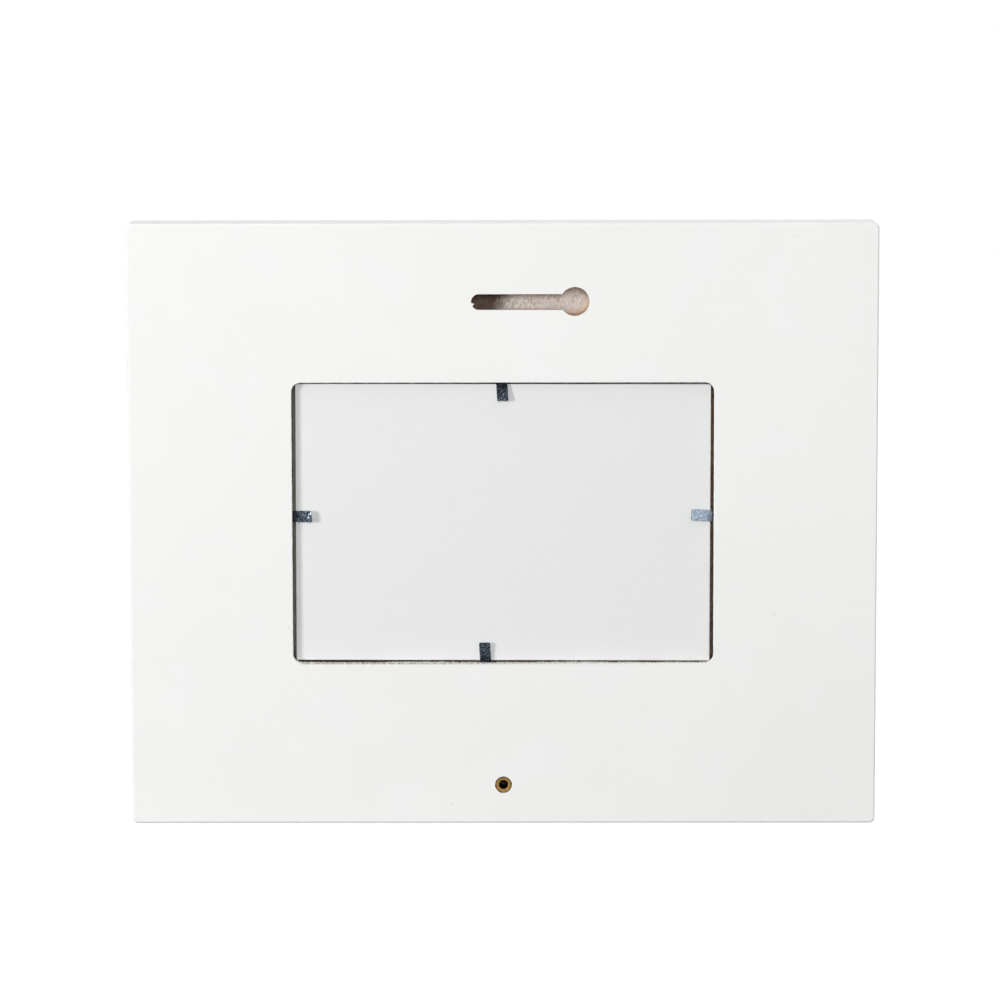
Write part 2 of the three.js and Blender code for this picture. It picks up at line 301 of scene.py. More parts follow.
def keyhole_run():
    """The outline of the wider run below the lips, in the same two runs."""
    before, back, after = keyhole_arcs(KEYHOLE_HEAD_RADIUS, KEYHOLE_HEAD_RADIUS, KEYHOLE_HEAD_RADIUS)
    end = arc((KEYHOLE_FAR_END, KEYHOLE_MIDDLE), KEYHOLE_HEAD_RADIUS, -90, 90, 2 * CORNER_STEPS)
    rest = after[:1] + between(after[0], end[0], CUT_STEP) + end + between(end[-1], before[-1], CUT_STEP)
    return wander(back), wander(rest + before[-1:])


# Meshes

class Skin:
    """A closed mesh that is joined up from patches. Points in the same place become one vertex."""

    def __init__(self):
        self.bm = bmesh.new()
        self.made = {}

    def vertex(self, point):
        """The vertex at a point, made where there is none yet."""
        key = tuple(round(value, 4) for value in point)
        if key not in self.made:
            self.made[key] = self.bm.verts.new(Vector(point) * MM)
        return self.made[key]

    def face(self, points, slot):
        """One face round some points, unless they fall together on a line."""
        corners = list(dict.fromkeys(self.vertex(point) for point in points))
        if len(corners) > 2:
            face = self.bm.faces.new(corners)
            face.material_index = slot
            face.smooth = True

    def wall(self, rings, slot, skipped=()):
        """Quads between rings of equal counts, apart from those that begin at a skipped (ring, point)."""
        for level, (ring, following) in enumerate(zip(rings, rings[1:])):
            for here in range(len(ring)):
                after = (here + 1) % len(ring)
                if (level, here) not in skipped:
                    self.face([ring[here], ring[after], following[after], following[here]], slot)

    def flat(self, loops, slot):
        """A plane face inside the first loop and outside the others."""
        edges = []
        for loop in loops:
            corners = [self.vertex(point) for point in loop]
            for one, other in zip(corners, corners[1:] + corners[:1]):
                edges.append(self.bm.edges.get((one, other)) or self.bm.edges.new((one, other)))
        filled = bmesh.ops.triangle_fill(self.bm, use_beauty=True, edges=edges)
        for face in filled["geom"]:
            if isinstance(face, bmesh.types.BMFace):
                face.material_index = slot
                face.smooth = True

    def piece(self, name, materials):
        """The finished object, in the scene."""
        bmesh.ops.recalc_face_normals(self.bm, faces=self.bm.faces)
        mesh = bpy.data.meshes.new(name)
        self.bm.to_mesh(mesh)
        self.bm.free()
        mesh.set_sharp_from_angle(angle=SHARP_ANGLE)
        for material in materials:
            mesh.materials.append(material)
        made = bpy.data.objects.new(name, mesh)
        made.modifiers.new("even_shading", "WEIGHTED_NORMAL").keep_sharp = True
        bpy.context.scene.collection.objects.link(made)
        return made


def at_depth(outline, depth):
    """An outline's points in space, at a depth below the wall side."""
    return [(point.x, -depth, point.y) for point in outline]


def quarter_round(radius):
    """(sideways, down) steps of a rounded edge, from the face to the side."""
    steps = []
    for step in range(EDGE_STEPS + 1):
        angle = math.pi / 2 * step / EDGE_STEPS
        steps.append((radius * (1 - math.sin(angle)), radius * (1 - math.cos(angle))))
    return steps


def board_rings():
    """The board's outer edge from the wall side to the display side."""
    def ring(inset, depth):
        width = BOARD_SIZE.x - 2 * inset
        height = BOARD_SIZE.z - 2 * inset
        return at_depth(rounded_rectangle(BOARD_CENTRE, width, height, BOARD_CORNER_RADIUS - inset), depth)

    rounding = quarter_round(BOARD_EDGE_ROUND)
    near = [ring(inset, depth) for inset, depth in rounding]
    far = [ring(inset, BOARD_SIZE.y - depth) for inset, depth in reversed(rounding)]
    return near + far


def window_rings():
    """The window from the pocket's floor to the display side, where its edge is rounded."""
    def ring(spread, depth):
        width = PANE_SIZE.x - 2 * LIP_OVERLAP + 2 * spread
        height = PANE_SIZE.z - 2 * LIP_OVERLAP + 2 * spread
        return at_depth(rounded_rectangle(PANE_CENTRE, width, height, WINDOW_CORNER_RADIUS + spread), depth)

    rounding = reversed(quarter_round(BOARD_EDGE_ROUND))
    return [ring(0, POCKET_DEPTH)] + [ring(spread, BOARD_SIZE.y - down) for spread, down in rounding]


def point_place(side):
    """A steel point's place at its bend line: x along the bend, y to the wall side and z into the wall."""
    joint = JOINTS[f"tab_{side}_bend"]
    along = Vector(joint["axis"]).normalized()
    out = Vector((0, 1, 0))
    into = along.cross(out)
    place = Matrix((along, out, into)).transposed().to_4x4()
    place.translation = Vector(joint["pos_m"]) / MM
    return place


def slit_section(side, half_width, along):
    """The four corners of a slit's section at a distance into the wall from the bend."""
    half_height = STRIP_THICKNESS / 2 + SLIT_CLEARANCE
    corners = [(1, 1), (-1, 1), (-1, -1), (1, -1)]
    place = point_place(side)
    return [place @ Vector((x * half_width, y * half_height, along)) for x, y in corners]


def slit_edges(side):
    """Where the two edges of a point's slit cross its wall, along the wall."""
    place = point_place(side)
    half_width = STRIP_WIDTH / 2 + SLIT_CLEARANCE
    axis = 2 if side in ("top", "bottom") else 0
    half = (POCKET_HEIGHT if axis == 2 else POCKET_WIDTH) / 2
    wall = PANE_CENTRE[axis] + math.copysign(half, place.translation[axis] - PANE_CENTRE[axis])
    crossings = []
    for edge in (half_width, -half_width):
        start = place @ Vector((edge, 0, 0))
        into = place.to_3x3() @ Vector((0, 0, 1))
        crossing = start + into * ((wall - start[axis]) / into[axis])
        crossings.append(crossing[2 - axis])
    return crossings


def cut_slits(skin, upper, lower, begins, slot):
    """The blind slits behind the openings that the pocket's wall leaves for the points."""
    for side, begin in begins.items():
        end = STRIP_LENGTH - POINTS[side]["out"] + BEND_FROM_WALL + SLIT_CLEARANCE
        shoulder = end - STRIP_POINT_LENGTH
        sections = [
            [upper[begin], upper[begin + 1], lower[begin + 1], lower[begin]],
            slit_section(side, STRIP_WIDTH / 2 + SLIT_CLEARANCE, shoulder),
            slit_section(side, STRIP_POINT_WIDTH / 2 + SLIT_CLEARANCE, end),
        ]
        skin.wall(sections, slot)
        skin.face(sections[-1], slot)


def cut_pocket(skin, painted, raw):
    """The pocket's wall and slits; gives its rim on the wall side and its foot."""
    slits = {side: slit_edges(side) for side in POINTS}
    begins = pocket_outline(0, slits)[1]
    strip_depth = -JOINTS["tab_top_bend"]["pos_m"][1] / MM
    slit_half = STRIP_THICKNESS / 2 + SLIT_CLEARANCE
    rim = [at_depth(pocket_outline(grow, slits)[0], down) for grow, down in quarter_round(POCKET_EDGE_ROUND)]
    depths = (POCKET_EDGE_ROUND, strip_depth - slit_half, strip_depth + slit_half, POCKET_DEPTH)
    sides = [at_depth(pocket_outline(0, slits)[0], depth) for depth in depths]
    skin.wall(rim, painted)
    skin.wall(sides, raw, skipped={(1, begin) for begin in begins.values()})
    cut_slits(skin, sides[1], sides[2], begins, raw)
    return rim[0], sides[-1]


def cut_keyhole(skin, painted, routed):
    """The keyhole's slot, the run below its lips and its floor; gives its rim on the wall side."""
    def ring(grow, depth, film):
        back, rest = keyhole_outline(grow, film)
        return at_depth(back[:-1] + rest[:-1], depth)

    rim = [ring(grow, down, FILM_REACH) for grow, down in quarter_round(KEYHOLE_PAINT)]
    neck = [rim[-1], ring(0, FILM_THICKNESS, FILM_BACK_REACH)]
    neck += [ring(0, depth, 0) for depth in (2 * FILM_THICKNESS, KEYHOLE_LIP_DEPTH)]
    back, rest = keyhole_run()
    run = [at_depth(back[:-1] + rest[:-1], depth) for depth in (KEYHOLE_LIP_DEPTH, KEYHOLE_DEPTH)]
    under_lip = keyhole_outline(0, 0)[1] + rest[-2:0:-1]
    skin.wall(rim, painted)
    skin.wall(neck[:2], painted)
    skin.wall(neck[1:], routed)
    skin.flat([at_depth(under_lip, KEYHOLE_LIP_DEPTH)], routed)
    skin.wall(run, routed)
    skin.flat([run[-1]], routed)
    return rim[0]


def cut_insert_hole(skin, painted, raw):
    """The insert's blind hole; gives its rim on the wall side."""
    def ring(grow, depth):
        radius = KNURL_RADIUS + INSERT_HOLE_CLEARANCE + grow
        middle = (INSERT_CENTRE.x, INSERT_CENTRE.z)
        return at_depth(wander(arc(middle, radius, 0, 360, INSERT_HOLE_STEPS)[:-1]), depth)

    rim = [ring(grow, down) for grow, down in quarter_round(INSERT_HOLE_EDGE_ROUND)]
    foot = ring(0, INSERT_HOLE_DEPTH)
    skin.wall(rim, painted)
    skin.wall([rim[-1], foot], raw)
    skin.flat([foot], raw)
    return rim[0]


def painted_board(materials):
    """The board, with everything that is cut into it."""
    painted, raw, routed = range(3)
    skin = Skin()
    edge = board_rings()
    window = window_rings()
    pocket_rim, pocket_foot = cut_pocket(skin, painted, raw)
    keyhole_rim = cut_keyhole(skin, painted, routed)
    hole_rim = cut_insert_hole(skin, painted, raw)
    skin.wall(edge, painted)
    skin.wall(window, painted)
    skin.flat([pocket_foot, window[0]], raw)
    skin.flat([edge[0], pocket_rim, keyhole_rim, hole_rim], painted)
    skin.flat([edge[-1], window[-1]], painted)
    board = skin.piece("painted_board", materials)
    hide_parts("frame_board")
    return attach(board, "frame")


def backing_panel(materials):
    """The card panel, a little turned and settled in its pocket."""
    face_slot, edge_slot = range(2)
    turn = Matrix.Rotation(-BACKING_SKEW, 2)
    middle = Vector((PANE_CENTRE.x, PANE_CENTRE.z))
    settled = middle - Vector((0, BACKING_DROP))
    height = PANE_SIZE.z + 2 * BACKING_SPREAD

    def ring(inset, depth):
        outline = rounded_rectangle(
            PANE_CENTRE, PANE_SIZE.x - 2 * inset, height - 2 * inset, BACKING_CORNER_RADIUS - inset
        )
        return at_depth([settled + turn @ (point - middle) for point in outline], depth)

    rounding = quarter_round(BACKING_EDGE_ROUND)
    near = [ring(inset, down - BACKING_HIGH.y) for inset, down in rounding]
    far = [ring(inset, -BACKING_LOW.y - down) for inset, down in reversed(rounding)]
    skin = Skin()
    skin.wall(near, face_slot)
    skin.wall([near[-1], far[0]], edge_slot)
    skin.wall(far, face_slot)
    skin.flat([near[0]], face_slot)
    skin.flat([far[-1]], face_slot)
    panel = skin.piece("backing_panel", materials)
    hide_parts("backing_board")
    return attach(panel, "frame")


def insert_ring(depth, radius, tooth=0.0, turn=0.0):
    """A ring of the insert, on which the knurl's teeth stand out by a share of their height."""
    points = []
    for i in range(INSERT_STEPS):
        angle = 2 * math.pi * i / INSERT_STEPS + turn
        top = KNURL_RADIUS - KNURL_DEPTH * (1 - KNURL_WAVE[i % len(KNURL_WAVE)])
        reach = radius + tooth * (top - radius)
        points.append((reach * math.cos(angle), reach * math.sin(angle)))
    return insert_points(points, depth)


def insert_points(points, depth):
    """Points round the insert's axis, in space at a depth below its end."""
    return [(INSERT_CENTRE.x + x, INSERT_HIGH.y - depth, INSERT_CENTRE.z + z) for x, z in points]


def knurled_rings():
    """The insert's outside, from its near end to the far one, with two bands that twist opposite ways."""
    core = INSERT_CORE_RADIUS
    start = INSERT_CHAMFER
    rings = [insert_ring(0, core - INSERT_EDGE_BREAK), insert_ring(INSERT_EDGE_BREAK, core)]
    for first, last, turns in (
        (start, KNURL_BAND, (0, KNURL_TWIST)),
        (INSERT_LENGTH - KNURL_BAND, INSERT_LENGTH - start, (KNURL_TWIST, 0)),
    ):
        rings.append(insert_ring(first, core, 0, turns[0]))
        rings.append(insert_ring(first + KNURL_TAPER, core, 1, turns[0]))
        rings.append(insert_ring(last - KNURL_TAPER, core, 1, turns[1]))
        rings.append(insert_ring(last, core, 0, turns[1]))
    return rings + [insert_ring(INSERT_LENGTH, core)]


def thread_rings():
    """The threaded bore, from the far end up to the chamfer, with a run-out at both ends."""
    length = INSERT_LENGTH - INSERT_CHAMFER
    levels = round(THREAD_STEPS * length / THREAD_PITCH)
    rings = []
    for level in range(levels + 1):
        depth = INSERT_LENGTH - length * level / levels
        fade = min(1.0, 2 * min(depth - INSERT_CHAMFER, INSERT_LENGTH - depth) / THREAD_PITCH)
        points = []
        for i in range(INSERT_STEPS):
            phase = (depth / THREAD_PITCH + i / INSERT_STEPS) % 1
            radius = INSERT_BORE_RADIUS + fade * THREAD_DEPTH * (1 - abs(2 * phase - 1))
            angle = 2 * math.pi * i / INSERT_STEPS
            points.append((radius * math.cos(angle), radius * math.sin(angle)))
        rings.append(insert_points(points, depth))
    return rings


def knurled_insert(materials):
    """The brass insert, knurled outside and threaded inside."""
    outside, bore = range(2)
    skin = Skin()
    rings = knurled_rings()
    threads = thread_rings()
    end = insert_ring(0, INSERT_BORE_RADIUS + INSERT_CHAMFER)
    skin.wall([end] + rings + threads[:1], outside)
    skin.wall(threads, bore)
    skin.wall([threads[-1], end], outside)
    insert = skin.piece("knurled_insert", materials)
    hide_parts("threaded_insert")
    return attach(insert, "frame")


def strip_stations(out):
    """(distance from the bend, half width, half thickness) along a strip, from its tip to its driven end."""
    half = STRIP_WIDTH / 2
    thick = STRIP_THICKNESS / 2
    tip = BEND_FROM_WALL - out
    end = STRIP_LENGTH + tip
    stations = [(tip, half - STRIP_TIP_RADIUS, thick - STRIP_BEVEL)]
    for step in range(1, CORNER_STEPS + 1):
        angle = math.pi / 2 * step / CORNER_STEPS
        along = tip + STRIP_TIP_RADIUS * (1 - math.cos(angle))
        stations.append((along, half - STRIP_TIP_RADIUS * (1 - math.sin(angle)), thick))
    leaf_start = tip + STRIP_TIP_RADIUS
    leaf_length = -2 * BEND_HALF - leaf_start
    for step in range(1, STRIP_LEAF_STEPS + 1):
        stations.append((leaf_start + leaf_length * step / STRIP_LEAF_STEPS, half, thick))
    for step in range(1, STRIP_BEND_STEPS + 1):
        stations.append((4 * BEND_HALF * step / STRIP_BEND_STEPS - 2 * BEND_HALF, half, thick))
    stations.append((end - STRIP_POINT_LENGTH, half, thick))
    stations.append((end, STRIP_POINT_WIDTH / 2, thick))
    return stations


def strip_section(half, thick):
    """Points round a strip's section, with bevelled edges."""
    inner = half - STRIP_BEVEL
    across = [inner * (2 * i / STRIP_COLUMNS - 1) for i in range(STRIP_COLUMNS + 1)]
    side = thick - STRIP_BEVEL
    upper = [(x, thick) for x in across]
    lower = [(x, -thick) for x in reversed(across)]
    return upper + [(half, side), (half, -side)] + lower + [(-half, -side), (-half, side)]


def smooth_step(low, high, value):
    """0 below a range and 1 above it, with an even turn between."""
    share = min(1.0, max(0.0, (value - low) / (high - low)))
    return share * share * (3 - 2 * share)


def bent_strip(side, place, skin):
    """Rings along a bent strip, and where each of its vertices lies on the flat sheet.

    The length of the side's name, which differs from side to side, gives each strip dents of its own.
    """
    facts = POINTS[side]
    lift = math.radians(facts["lift"])
    slant = math.tan(math.radians(facts["slant"]))
    tip = BEND_FROM_WALL - facts["out"]
    dents = len(side)
    rings = []
    flat_places = {}
    for along, half, thick in strip_stations(facts["out"]):
        near_tip = 1 - smooth_step(tip, tip + 2 * STRIP_TIP_RADIUS, along)
        angle = lift * (1 - smooth_step(-BEND_HALF, BEND_HALF, along))
        cosine = math.cos(angle)
        sine = math.sin(angle)
        share = max(0.0, along / tip)
        sag = 4 * STRIP_BOW * share * (1 - share)
        ring = []
        for x, y in strip_section(half, thick):
            z = along + near_tip * slant * (x + STRIP_WIDTH / 2 * math.copysign(1, slant))
            dent = noise.noise(Vector((STRIP_DENTS_PER_MM * x, STRIP_DENTS_PER_MM * z, dents)))
            y += STRIP_DENT * dent - sag
            ring.append(place @ Vector((x, y * cosine - z * sine, z * cosine + y * sine)))
            flat_places[skin.vertex(ring[-1])] = (x, z)
        rings.append(ring)
    return rings, flat_places


def steel_point(side, material):
    """One strip, driven into the wall and bent where it leaves it."""
    place = point_place(side)
    skin = Skin()
    rings, flat_places = bent_strip(side, place, skin)
    skin.wall(rings, 0)
    skin.face(rings[0], 0)
    skin.face(rings[-1], 0)
    layer = skin.bm.loops.layers.uv.new("sheet")
    for face in skin.bm.faces:
        for loop in face.loops:
            loop[layer].uv = flat_places[loop.vert]
    point = skin.piece(f"steel_point_{side}", [material])
    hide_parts(f"retaining_tab_{side}", f"retaining_tab_{side}_shank")
    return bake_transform(point)


# Materials

class Shader:
    """The node tree of a material or of the world, built up one node at a time."""

    def __init__(self, owner):
        owner.use_nodes = True
        self.tree = owner.node_tree
        self.tree.nodes.clear()

    def add(self, kind, inputs, output=0, **settings):
        """A node with its inputs set or linked; gives the socket of one of its outputs."""
        node = self.tree.nodes.new(kind)
        for name, value in settings.items():
            setattr(node, name, value)
        for name, value in inputs.items():
            if isinstance(value, bpy.types.NodeSocket):
                self.tree.links.new(value, node.inputs[name])
            else:
                node.inputs[name].default_value = value
        return node.outputs[output]

    def place(self, stretch=(1, 1, 1)):
        """Where a point of the piece is, in metres, with each axis stretched."""
        here = self.add("ShaderNodeTexCoord", {}, "Object")
        return self.add("ShaderNodeMapping", {"Vector": here, "Scale": stretch})

    def depth(self, here):
        """How far a place is below the wall side, in millimetres."""
        return self.maths("MULTIPLY", self.axis(here, "Y"), -1 / MM)

    def noise(self, vector, scale, detail=3.0, roughness=0.55):
        """Soft random patches, mostly between 0.3 and 0.7."""
        return self.add(
            "ShaderNodeTexNoise",
            {"Vector": vector, "Scale": scale, "Detail": detail, "Roughness": roughness},
        )

    def ramp(self, value, low, high, start=0.0, end=1.0):
        """A number carried from one range over to another, and held at its ends."""
        return self.add(
            "ShaderNodeMapRange",
            {"Value": value, "From Min": low, "From Max": high, "To Min": start, "To Max": end},
        )

    def maths(self, operation, one, other=0.0):
        return self.add("ShaderNodeMath", {0: one, 1: other}, operation=operation)

    def vector(self, operation, one, other=(0, 0, 0), output=0):
        return self.add("ShaderNodeVectorMath", {0: one, 1: other}, output, operation=operation)

    def axis(self, vector, name):
        """One of a vector's three numbers."""
        return self.add("ShaderNodeSeparateXYZ", {"Vector": vector}, name)

    def mix(self, share, one, other):
        """One colour turning into another."""
        return self.add("ShaderNodeMix", {0: share, 6: one, 7: other}, 2, data_type="RGBA")

    def mix_numbers(self, share, one, other):
        """One number turning into another."""
        return self.add("ShaderNodeMix", {0: share, 2: one, 3: other}, data_type="FLOAT")

    def bump(self, height, distance, normal=None):
        """A normal for a height, of which 1 stands out by a distance in millimetres."""
        inputs = {"Height": height, "Distance": distance * MM}
        if normal is not None:
            inputs["Normal"] = normal
        return self.add("ShaderNodeBump", inputs)

    def finish(self, surface):
        self.add_output("ShaderNodeOutputMaterial", surface)

    def add_output(self, kind, surface):
        node = self.tree.nodes.new(kind)
        self.tree.links.new(surface, node.inputs["Surface"])


def colour(red, green, blue):
    """An opaque colour in linear light."""
    return (red, green, blue, 1.0)


def metres(lengths):
    """Millimetres as metres."""
    return [length * MM for length in lengths]


PAINT_MIST = colour(0.8, 0.79, 0.76)


def rubbed_rim(shader, here):
    """How much fibre shows through the paint along the pocket's lower rim, most of all towards +X."""
    rim = PANE_CENTRE.z - POCKET_HEIGHT / 2
    off_rim = shader.maths("ABSOLUTE", shader.maths("SUBTRACT", shader.axis(here, "Z"), rim * MM))
    thin = shader.ramp(off_rim, 0.0, RUBBED_REACH * MM, 1.0, 0.0)
    on_wall_side = shader.ramp(shader.axis(here, "Y"), -2 * RUBBED_REACH * MM, -RUBBED_REACH * MM)
    across = shader.maths("SUBTRACT", shader.axis(here, "X"), PANE_CENTRE.x * MM)
    straight = POCKET_WIDTH / 2 - POCKET_CORNER_RADIUS
    along_edge = shader.ramp(
        shader.maths("ABSOLUTE", across), straight * MM, (straight + RUBBED_REACH) * MM, 1.0, 0.0
    )
    uneven = shader.ramp(across, RUBBED_LEAST_AT * MM, RUBBED_MOST_AT * MM, 0.15, 0.95)
    specks = shader.ramp(shader.noise(here, scale=900, detail=2), 0.35, 0.65, 0.3, 1.7)
    # The first factor counts twice, which softens where the rubbing ends
    share = thin
    for factor in (thin, on_wall_side, along_edge, uneven, specks):
        share = shader.maths("MULTIPLY", share, factor)
    return share


def white_lacquer():
    """Satin white paint: cloudy, faintly pebbled, with a few nibs of dust and one rubbed rim."""
    material = bpy.data.materials.new("white_lacquer")
    shader = Shader(material)
    here = shader.place()
    clouds = shader.noise(here, scale=24, detail=4)
    tints = shader.noise(shader.place((1, 1, 1.3)), scale=37)
    grain = shader.noise(here, scale=420)
    pebbles = shader.noise(here, scale=1500, detail=2)
    nibs = shader.add("ShaderNodeTexVoronoi", {"Vector": here, "Scale": 46}, "Distance")
    nib = shader.ramp(nibs, 0.012, 0.028, 1.0, 0.0)
    tone = shader.mix(shader.ramp(clouds, 0.3, 0.7), colour(0.859, 0.869, 0.846), colour(0.885, 0.889, 0.87))
    tone = shader.mix(shader.ramp(tints, 0.4, 0.7, 0.0, 0.5), tone, colour(0.869, 0.881, 0.879))
    tone = shader.mix(shader.ramp(grain, 0.35, 0.65, 0.0, 0.25), tone, colour(0.867, 0.865, 0.848))
    tone = shader.mix(shader.maths("MULTIPLY", nib, 0.35), tone, colour(0.62, 0.6, 0.55))
    tone = shader.mix(rubbed_rim(shader, here), tone, colour(0.2, 0.185, 0.13))
    rough = shader.ramp(grain, 0.3, 0.7, 0.42, 0.54)
    normal = shader.bump(grain, 0.06)
    normal = shader.bump(pebbles, 0.03, normal)
    normal = shader.bump(nib, 0.1, normal)
    shader.finish(shader.add(
        "ShaderNodeBsdfPrincipled", {"Base Color": tone, "Roughness": rough, "Normal": normal}
    ))
    return material


def fibre_tone(shader, dark, light):
    """The speckle of cut fibres, with darker clumps and the cutter's streaks.

    Gives the colour, the height for a bump and the streaks by themselves.
    """
    here = shader.place()
    fibres = shader.noise(shader.place((1, 1, 0.5)), scale=1450, roughness=0.6)
    clumps = shader.noise(here, scale=330)
    streaks = shader.noise(shader.place((1, 0.06, 0.4)), scale=900, detail=2)
    tone = shader.mix(shader.ramp(fibres, 0.34, 0.66), colour(*dark), colour(*light))
    tone = shader.mix(shader.ramp(clumps, 0.4, 0.7, 0.0, 0.25), tone, colour(*dark))
    tone = shader.mix(shader.ramp(streaks, 0.45, 0.62, 0.0, 0.25), tone, colour(*dark))
    height = shader.maths("ADD", fibres, streaks)
    return tone, height, streaks


def finish_fibreboard(shader, tone, height):
    """The dull surface that all cut fibreboard has."""
    shader.finish(shader.add(
        "ShaderNodeBsdfPrincipled",
        {
            "Base Color": tone,
            "Roughness": 0.85,
            "Specular IOR Level": 0.2,
            "Normal": shader.bump(height, 0.15),
        },
    ))


def raw_fibreboard():
    """Cut walls of fibreboard: dusty low down and misted with paint, most of all where they face up."""
    material = bpy.data.materials.new("raw_fibreboard")
    shader = Shader(material)
    here = shader.place()
    tone, height, streaks = fibre_tone(shader, dark=(0.1, 0.06, 0.036), light=(0.23, 0.16, 0.11))
    depth = shader.depth(here)
    low_down = shader.ramp(depth, *DUST_DEPTHS)
    to_one_side = shader.ramp(shader.axis(here, "X"), *metres(DUST_ACROSS))
    dust = shader.maths("MULTIPLY", low_down, to_one_side)
    tone = shader.mix(dust, tone, colour(0.165, 0.16, 0.14))
    facing = shader.add("ShaderNodeNewGeometry", {}, "Normal")
    settling = shader.ramp(shader.axis(facing, "Z"), 0.3, 0.9, 1.0, 2.6)
    drifts = shader.ramp(shader.noise(here, scale=45, detail=2), 0.35, 0.65, 0.4, 1.2)
    reach = shader.maths("MULTIPLY", shader.ramp(streaks, 0.3, 0.7, 0.7, 2.6), settling)
    reach = shader.maths("MULTIPLY", reach, drifts)
    mist = shader.ramp(shader.maths("DIVIDE", depth, reach), 0.4, 1.3, 0.9, 0.0)
    finish_fibreboard(shader, shader.mix(mist, tone, PAINT_MIST), height)
    return material


def routed_fibreboard():
    """The keyhole: misted at its mouth, tan walls, painted bounce light round its entry, painted shade at its
    far end.
    """
    material = bpy.data.materials.new("routed_fibreboard")
    shader = Shader(material)
    here = shader.place()
    tone, height, streaks = fibre_tone(shader, dark=(0.41, 0.33, 0.275), light=(0.74, 0.695, 0.66))
    dusty = shader.ramp(shader.noise(here, scale=160, detail=2), 0.42, 0.62, 0.0, 0.4)
    tone = shader.mix(dusty, tone, colour(0.6, 0.57, 0.565))
    depth = shader.depth(here)
    offset = shader.vector("SUBTRACT", here, Vector((KEYHOLE_ENTRY, 0, KEYHOLE_MIDDLE)) * MM)
    from_entry = shader.vector("LENGTH", shader.vector("MULTIPLY", offset, (1, 0, 1)), output="Value")
    # Painted bounce light: a warm ring on the floor round the back of the entry, beside the key-lit wall; the
    # walls' tan is their own colour
    rim = shader.ramp(from_entry, 0.6 * KEYHOLE_HEAD_RADIUS * MM, KEYHOLE_HEAD_RADIUS * MM)
    behind = shader.ramp(shader.axis(offset, "X"), 3.5 * MM, -0.5 * MM)
    walls = shader.ramp(depth, KEYHOLE_DEPTH - 1, KEYHOLE_DEPTH - 0.2, 1.0, 0.0)
    tan_walls_and_painted_bounce = shader.maths("MAXIMUM", shader.maths("MULTIPLY", rim, behind), walls)
    tone = shader.mix(shader.maths("MULTIPLY", tan_walls_and_painted_bounce, 0.7), tone, colour(0.72, 0.53, 0.38))
    tone = shader.mix(shader.ramp(depth, 0.5, 3.2, 0.85, 0.0), tone, PAINT_MIST)
    # Painted shade: the far end darkens past a slanted, ragged edge, where the key light's shadow falls
    slanted = shader.vector("DOT_PRODUCT", here, (1, 0, PAINTED_SHADE_SLANT), "Value")
    raggedness = shader.ramp(streaks, 0.3, 0.7, -PAINTED_SHADE_RAGGED * MM, PAINTED_SHADE_RAGGED * MM)
    ragged = shader.maths("ADD", slanted, raggedness)
    painted_end_shade = shader.ramp(ragged, PAINTED_SHADE_BEGINS * MM, PAINTED_SHADE_FULL * MM, 0.0, 0.86)
    finish_fibreboard(shader, shader.mix(painted_end_shade, tone, colour(0.07, 0.032, 0.012)), height)
    return material


def card(name, dark, light, fibre_scale):
    """Pulp card with a faint flock of fibres."""
    material = bpy.data.materials.new(name)
    shader = Shader(material)
    fibres = shader.noise(shader.place((1, 1, 0.6)), fibre_scale, detail=5, roughness=0.65)
    clouds = shader.noise(shader.place(), scale=40)
    tone = shader.mix(shader.ramp(fibres, 0.3, 0.7), colour(*dark), colour(*light))
    tone = shader.mix(shader.ramp(clouds, 0.35, 0.7, 0.0, 0.3), tone, colour(*dark))
    rough = shader.ramp(fibres, 0.3, 0.7, 0.7, 0.82)
    normal = shader.bump(fibres, 0.02)
    shader.finish(shader.add(
        "ShaderNodeBsdfPrincipled",
        {"Base Color": tone, "Roughness": rough, "Specular IOR Level": 0.3, "Normal": normal},
    ))
    return material


def brass(name, bright, stained):
    """Turned brass under patches of tarnish."""
    material = bpy.data.materials.new(name)
    shader = Shader(material)
    here = shader.place()
    stains = shader.noise(here, scale=700, detail=4)
    turning = shader.noise(shader.place((1, 30, 1)), scale=500, detail=2)
    tone = shader.mix(shader.ramp(stains, 0.35, 0.68), colour(*bright), colour(*stained))
    rough = shader.ramp(stains, 0.3, 0.7, 0.28, 0.5)
    normal = shader.bump(turning, 0.03)
    shader.finish(shader.add(
        "ShaderNodeBsdfPrincipled",
        {"Base Color": tone, "Metallic": 1.0, "Roughness": rough, "Normal": normal},
    ))
    return material


